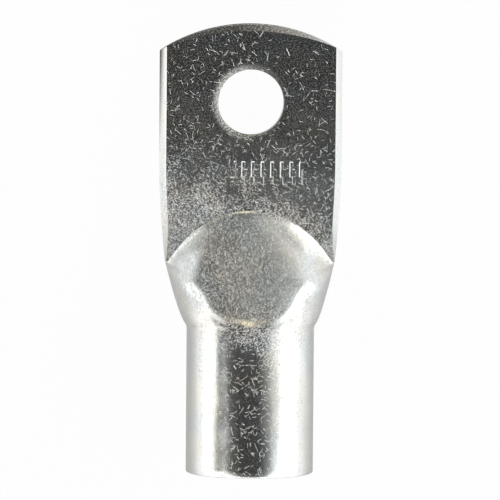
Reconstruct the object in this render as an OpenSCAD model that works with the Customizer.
// Tubular cable lug: one length of copper tube. The cable goes into the round barrel, and the
// other end is pressed flat between a punch and an anvil into a palm with one stud hole.
// The origin is the centre of the stud hole on the back (contact) face. +Z points out of the
// front of the palm, and the barrel runs along -Y.

/* [Barrel] */
// Outside diameter of the tube
barrel_od = 25; // [23:0.5:27]
// Bore that takes the stripped end of the cable
barrel_id = 19; // [17:0.5:20]
// Length of the tube that stays round, from the mouth to the shoulder
barrel_length = 28; // [20:0.5:45]
// Height of the tube's underside above the contact face
barrel_lift = 0.2; // [0.1:0.1:1]
// Broken edge round the mouth, inside and outside
mouth_break = 0.3; // [0.1:0.1:0.6]

/* [Palm] */
// Width across the flattened end
palm_width = 36.2; // [34:0.2:39]
// Thickness of the two tube walls pressed together
palm_thickness = 5.8; // [5:0.1:6.4]
// Centre of the stud hole to the rounded end
hole_to_end = 15.5; // [13:0.5:20]
// Centre of the stud hole to the toe of the shoulder
hole_to_shoulder = 21.8; // [18:0.2:30]
// Radius of the rounded end, seen from the front
end_radius = 33; // [24:1:60]
// Bevel that cropping leaves along the middle of the end, at the front
end_bevel = 1.4; // [0.4:0.1:2]
// Diameter of the stud hole
hole_d = 13; // [8.5:0.5:14]
// Width of the edge that the hole punch rolled over
hole_roll = 0.7; // [0.2:0.1:0.9]

/* [Shoulder] */
// Slope of the shoulder, from the palm up to the tube
shoulder_angle = 43.5; // [38:0.5:48]
// Width across the shoulder where the punch stops
shoulder_width = 33.7; // [31:0.1:34]
// Radius across the top of the shoulder
dome_radius = 21; // [19.5:0.5:26]
// Reach of the punch past the toe, along the edges of the palm
punch_reach = 9.5; // [8:0.5:11]
// Softness of the bend between the shoulder and the tube
crown_blend = 1.1; // [0.8:0.1:2.4]
// Softness of the hollow between the palm and the shoulder, at the toe
cove_blend = 0.9; // [0.4:0.1:1.6]
// How much that hollow softens for each mm from the toe towards the tube
cove_spread = 0.45; // [0.2:0.05:0.6]

/* [Hidden] */

// Angle, round the flattened section, at which the punch leaves the bulged side edge.
edge_angle = 22.5;
// Facets round the pressed end and round the cavity inside it. Their end polygons stand just
// outside the true circles that they meet, and the round part overlaps them a little.
skin_sides = 96;
cavity_sides = 48;
circle_gap = 0.01;
overlap = 0.01;
// Distance by which a cutting shape runs past the face that it cuts.
past = 1;

barrel_r = barrel_od / 2;
bore_r = barrel_id / 2;
wall = barrel_r - bore_r;
barrel_z = barrel_r + barrel_lift;
skin_r = barrel_r / cos(180 / skin_sides) + circle_gap;
cavity_r = bore_r / cos(180 / cavity_sides) + circle_gap;
crown_z = barrel_z + skin_r;

toe_y = -hole_to_shoulder;
heel_y = toe_y - (crown_z - palm_thickness) / tan(shoulder_angle);
// Length of tube below the shoulder that has begun to flatten.
settle = 2.2;
round_y = heel_y - max(settle, crown_blend / tan(shoulder_angle));
mouth_y = round_y - barrel_length;

// The punch ends in a short wall, and that wall slants back towards the shoulder.
punch_y = toe_y - punch_reach;
punch_inner_x = barrel_r;
punch_slant = 0.36;
punch_wall = 0.9;
// The sides flare out quickly from the tube, then slowly from the end of the punch to the palm.
flare_y = round_y + 1;
palm_run = 10;
palm_y = toe_y + palm_run;
flare_lead = 1.6;
flare_power = 0.7;
side_power = 1.8;
flare_blend = 0.5;
// Between the heel and full_y the sloping flat takes over from the tube, whose crown sinks under
// it. From knee_y on, the section turns into the fuller one that the punch left.
fade = 2.5;
full_y = punch_y - fade;
knee_share = 0.45;
knee_y = mix(heel_y, full_y, knee_share);
dome_y = full_y + 1;
crown_under = 1.9;
fall_power = 2.2;
dome_power = 1.6;
// Away from the toe the top of the shoulder is flatter, with rounder sides.
dome_squareness = 2.6;
squareness_run = 9;
edge_height = palm_thickness / 2 / sin(edge_angle);
shoulder_fullness = 0.8;
shoulder_blend = 1.2;
side_round = 16;
// The waist of the section rises slowly from the palm, then quickly into the tube.
waist_slow = 7;
waist_quick = 1.2;
waist_share = 0.45;

function clamp01(v) = min(1, max(0, v));
function ease(v) = let (t = clamp01(v)) t * t * (3 - 2 * t);
function mix(a, b, t) = a + (b - a) * t;
function soft_max(a, b, k) = let (h = max(k - abs(a - b), 0) / k) max(a, b) + h * h * k / 4;
function soft_min(a, b, k) = -soft_max(-a, -b, k);

// Height of the ridge along the middle of the shoulder.
function ridge_z(y) =
    soft_min(palm_thickness + (toe_y - y) * tan(shoulder_angle), crown_z, crown_blend);

// Half the width of the section at y.
function flare_out(u) = u < 0 ? flare_lead * u : pow(min(u, 1), flare_power);
function side_out(v) = 1 - pow(1 - v, side_power);
function half_width(y) =
    y < punch_y
        ? soft_max(skin_r, mix(skin_r, shoulder_width / 2,
                               flare_out((y - flare_y) / (punch_y - flare_y))), flare_blend)
        : mix(shoulder_width / 2, palm_width / 2, side_out(clamp01((y - punch_y) / (palm_y - punch_y))));

// Height of the widest point of the section.
function waist_z(y) =
    let (lift = ease((toe_y - y) / (toe_y - round_y)))
    mix(palm_thickness / 2, barrel_z, mix(pow(lift, waist_slow), pow(lift, waist_quick), waist_share));

// Half-height of the bulged edge, above and below the waist.
function edge_top(y) = soft_max(edge_height, shoulder_fullness * (ridge_z(y) - waist_z(y)), 1);
function edge_bottom(y) =
    waist_z(y) - mix(barrel_z - skin_r, palm_thickness / 2 - edge_height,
                     ease((y - round_y) / (toe_y - round_y)));

// Half the width, at height palm_thickness, of the shoulder at y.
function arch_x(y) =
    let (climb = max(0, toe_y - y) * sin(shoulder_angle))
    sqrt(max(0, 2 * climb * dome_radius - climb * climb));

// Fall of the shoulder from its middle to x. Bend is 0 where it is flat across and 1 where it is
// bent to the full radius.
function dome_drop(x, y, bend) =
    let (curve = bend / dome_radius,
         drop = curve * x * x / (1 + sqrt(max(0, 1 - pow(curve * x, 2)))) / cos(shoulder_angle),
         squareness = dome_squareness * ease((toe_y - y) / squareness_run))
    drop * pow(abs(x) / max(arch_x(y), 0.01), squareness);

// Where the punch ends, at a distance x from the middle.
function punch_end(x) =
    punch_y - punch_slant * (half_width(punch_y) - max(abs(x), punch_inner_x));

// Front of the section at x, where arc goes from 0 at the side to 1 at the middle.
function pressed_z(x, y, arc) =
    soft_max(ridge_z(y) - dome_drop(x, y, 1), min(waist_z(y) + edge_top(y) * arc, palm_thickness),
             cove_blend + cove_spread * max(0, toe_y - y));
function free_z(x, y, arc) =
    let (waist = waist_z(y),
         along = clamp01((y - heel_y) / (dome_y - heel_y)),
         drop = dome_drop(x, y, pow(ease(along), dome_power)),
         crown = soft_max(ridge_z(y) - drop, waist + edge_top(y) * arc, shoulder_blend) - waist,
         shoulder = waist + crown * sqrt(1 - pow(min(1, abs(x) / half_width(y)), side_round)),
         fall = (crown_z - ridge_z(dome_y) + crown_under) * pow(along, fall_power),
         tube = waist + (crown_z - fall - waist) * arc,
         flat = palm_thickness + (toe_y - y) * tan(shoulder_angle) - drop,
         knee = soft_min(flat, tube, crown_blend))
    mix(knee, shoulder, ease((y - knee_y) / (full_y - knee_y)));
function front_z(x, y, arc) =
    mix(pressed_z(x, y, arc), free_z(x, y, arc), clamp01((punch_end(x) - y) / punch_wall));

function back_z(y, arc) = max(0, waist_z(y) - edge_bottom(y) * arc);

function skin_point(y, a) =
    let (x = half_width(y) * cos(a))
    [x, y, a <= 180 ? front_z(x, y, sin(a)) : back_z(y, -sin(a))];

// Stations along the pressed end, closer together where the form changes quickly.
skin_stations = concat(
    [round_y],
    [for (k = [1:13]) mix(round_y, full_y, k / 13)],
    [for (k = [1:11]) mix(full_y, punch_y + 0.6, k / 11)],
    [for (k = [1:8]) mix(punch_y + 0.6, toe_y + 1, k / 8)],
    [for (k = [1:4]) mix(toe_y + 1, palm_y, k / 4)],
    [hole_to_end + past]);

// Skins a stack of closed sections of equal size, with a flat cap at each end.
module loft(sections) {
    n = len(sections[0]);
    m = len(sections);
    polyhedron(
        points = [for (s = sections) each s],
        faces = concat(
            [[for (j = [n - 1:-1:0]) j]],
            [for (i = [0:m - 2]) for (j = [0:n - 1])
                let (k = (j + 1) % n) [i * n + j, i * n + k, (i + 1) * n + k, (i + 1) * n + j]],
            [[for (j = [0:n - 1]) (m - 1) * n + j]]));
}

// The tube's round part, with the rim's outer edge broken.
module barrel_outside() {
    translate([0, mouth_y, barrel_z]) rotate([-90, 0, 0]) rotate_extrude($fn = 128)
        polygon([[0, 0], [barrel_r - mouth_break, 0], [barrel_r, mouth_break],
                 [barrel_r, barrel_length + overlap], [0, barrel_length + overlap]]);
}

// The bore, with its inner edge broken at the mouth.
module barrel_bore() {
    translate([0, mouth_y, barrel_z]) rotate([-90, 0, 0]) rotate_extrude($fn = 128)
        polygon([[0, -past], [bore_r + mouth_break + past, -past], [bore_r, mouth_break],
                 [bore_r, barrel_length + overlap], [0, barrel_length + overlap]]);
}

// The flattened end: shoulder and palm in one skin.
module pressed_end() {
    loft([for (y = skin_stations)
        [for (j = [0:skin_sides - 1]) skin_point(y, j * 360 / skin_sides)]]);
}

// Outline that the end of the palm is cropped to.
module crop_outline() {
    translate([0, hole_to_end - end_radius, -past])
        cylinder(r = end_radius, h = crown_z + 2 * past, $fn = 180);
    translate([-palm_width, mouth_y, -past])
        cube([2 * palm_width, hole_to_end - end_radius - mouth_y, crown_z + 2 * past]);
}

// The flatter bevel at the front of the end, which runs out at the corners.
bevel_depth = 0.45 * palm_thickness;
bevel_run = end_bevel + 0.1;
corner_inset = 1.5;
below_corner = 8;
corner_x = palm_width / 2 - corner_inset;
corner_y = hole_to_end - end_radius + sqrt(pow(end_radius, 2) - pow(corner_x, 2));
bevel_rise = hole_to_end - end_bevel - corner_y;
bevel_radius = (pow(corner_x, 2) + pow(bevel_rise, 2)) / (2 * bevel_rise);
bevel_y = hole_to_end - end_bevel - bevel_radius;
module end_bevel_cut() {
    translate([0, bevel_y, palm_thickness - bevel_depth]) difference() {
        cylinder(r = bevel_radius + palm_width, h = bevel_depth + past, $fn = 180);
        translate([0, 0, -overlap])
            cylinder(r1 = bevel_radius + bevel_run, r2 = bevel_radius, h = bevel_depth + overlap,
                     $fn = 180);
        cylinder(r = bevel_radius, h = bevel_depth + 2 * past, $fn = 180);
        translate([-2 * bevel_radius, -2 * bevel_radius, -past])
            cube([4 * bevel_radius, 2 * bevel_radius + corner_y - below_corner - bevel_y,
                  bevel_depth + 3 * past]);
    }
}

// The hollow that is left inside the shoulder, one wall in from the skin.
cavity_edge = 2.3;
cavity_tip = 0.5;
cavity_run = 5;
cavity_tip_y = toe_y - max(1, (wall * (1 + 1 / cos(shoulder_angle)) + cavity_tip - palm_thickness)
    / tan(shoulder_angle));
function cavity_top(y) =
    ridge_z(y) - (crown_z - barrel_z - cavity_r)
        * mix(1, 1 / cos(shoulder_angle), ease((y - round_y) / cavity_run));
function cavity_floor(y) =
    mix(barrel_z - cavity_r, wall, ease((y - round_y) / (toe_y - round_y)));
function cavity_half(y) =
    let (open = soft_min(half_width(y) - wall, arch_x(y) - cavity_edge, 1))
    mix(cavity_r, open, ease((y - round_y) / cavity_run));
function cavity_section(y) =
    let (half = (cavity_top(y) - cavity_floor(y)) / 2)
    [for (j = [0:cavity_sides - 1]) let (a = j * 360 / cavity_sides)
        [cavity_half(y) * cos(a), y, cavity_floor(y) + half + half * sin(a)]];

module shoulder_cavity() {
    loft([for (k = [0:12]) cavity_section(mix(round_y, cavity_tip_y, k / 12))]);
}

// The punched stud hole, rolled over at the front.
roll_depth = 0.4 * hole_roll;
module stud_hole() {
    translate([0, 0, -past]) cylinder(d = hole_d, h = palm_thickness + 2 * past, $fn = 128);
    translate([0, 0, palm_thickness - roll_depth])
        cylinder(d1 = hole_d, d2 = hole_d + 4 * hole_roll, h = 2 * roll_depth, $fn = 128);
}

module cable_lug() {
    color("silver") difference() {
        union() {
            barrel_outside();
            intersection() {
                pressed_end();
                crop_outline();
            }
        }
        barrel_bore();
        shoulder_cavity();
        end_bevel_cut();
        stud_hole();
    }
}

cable_lug();
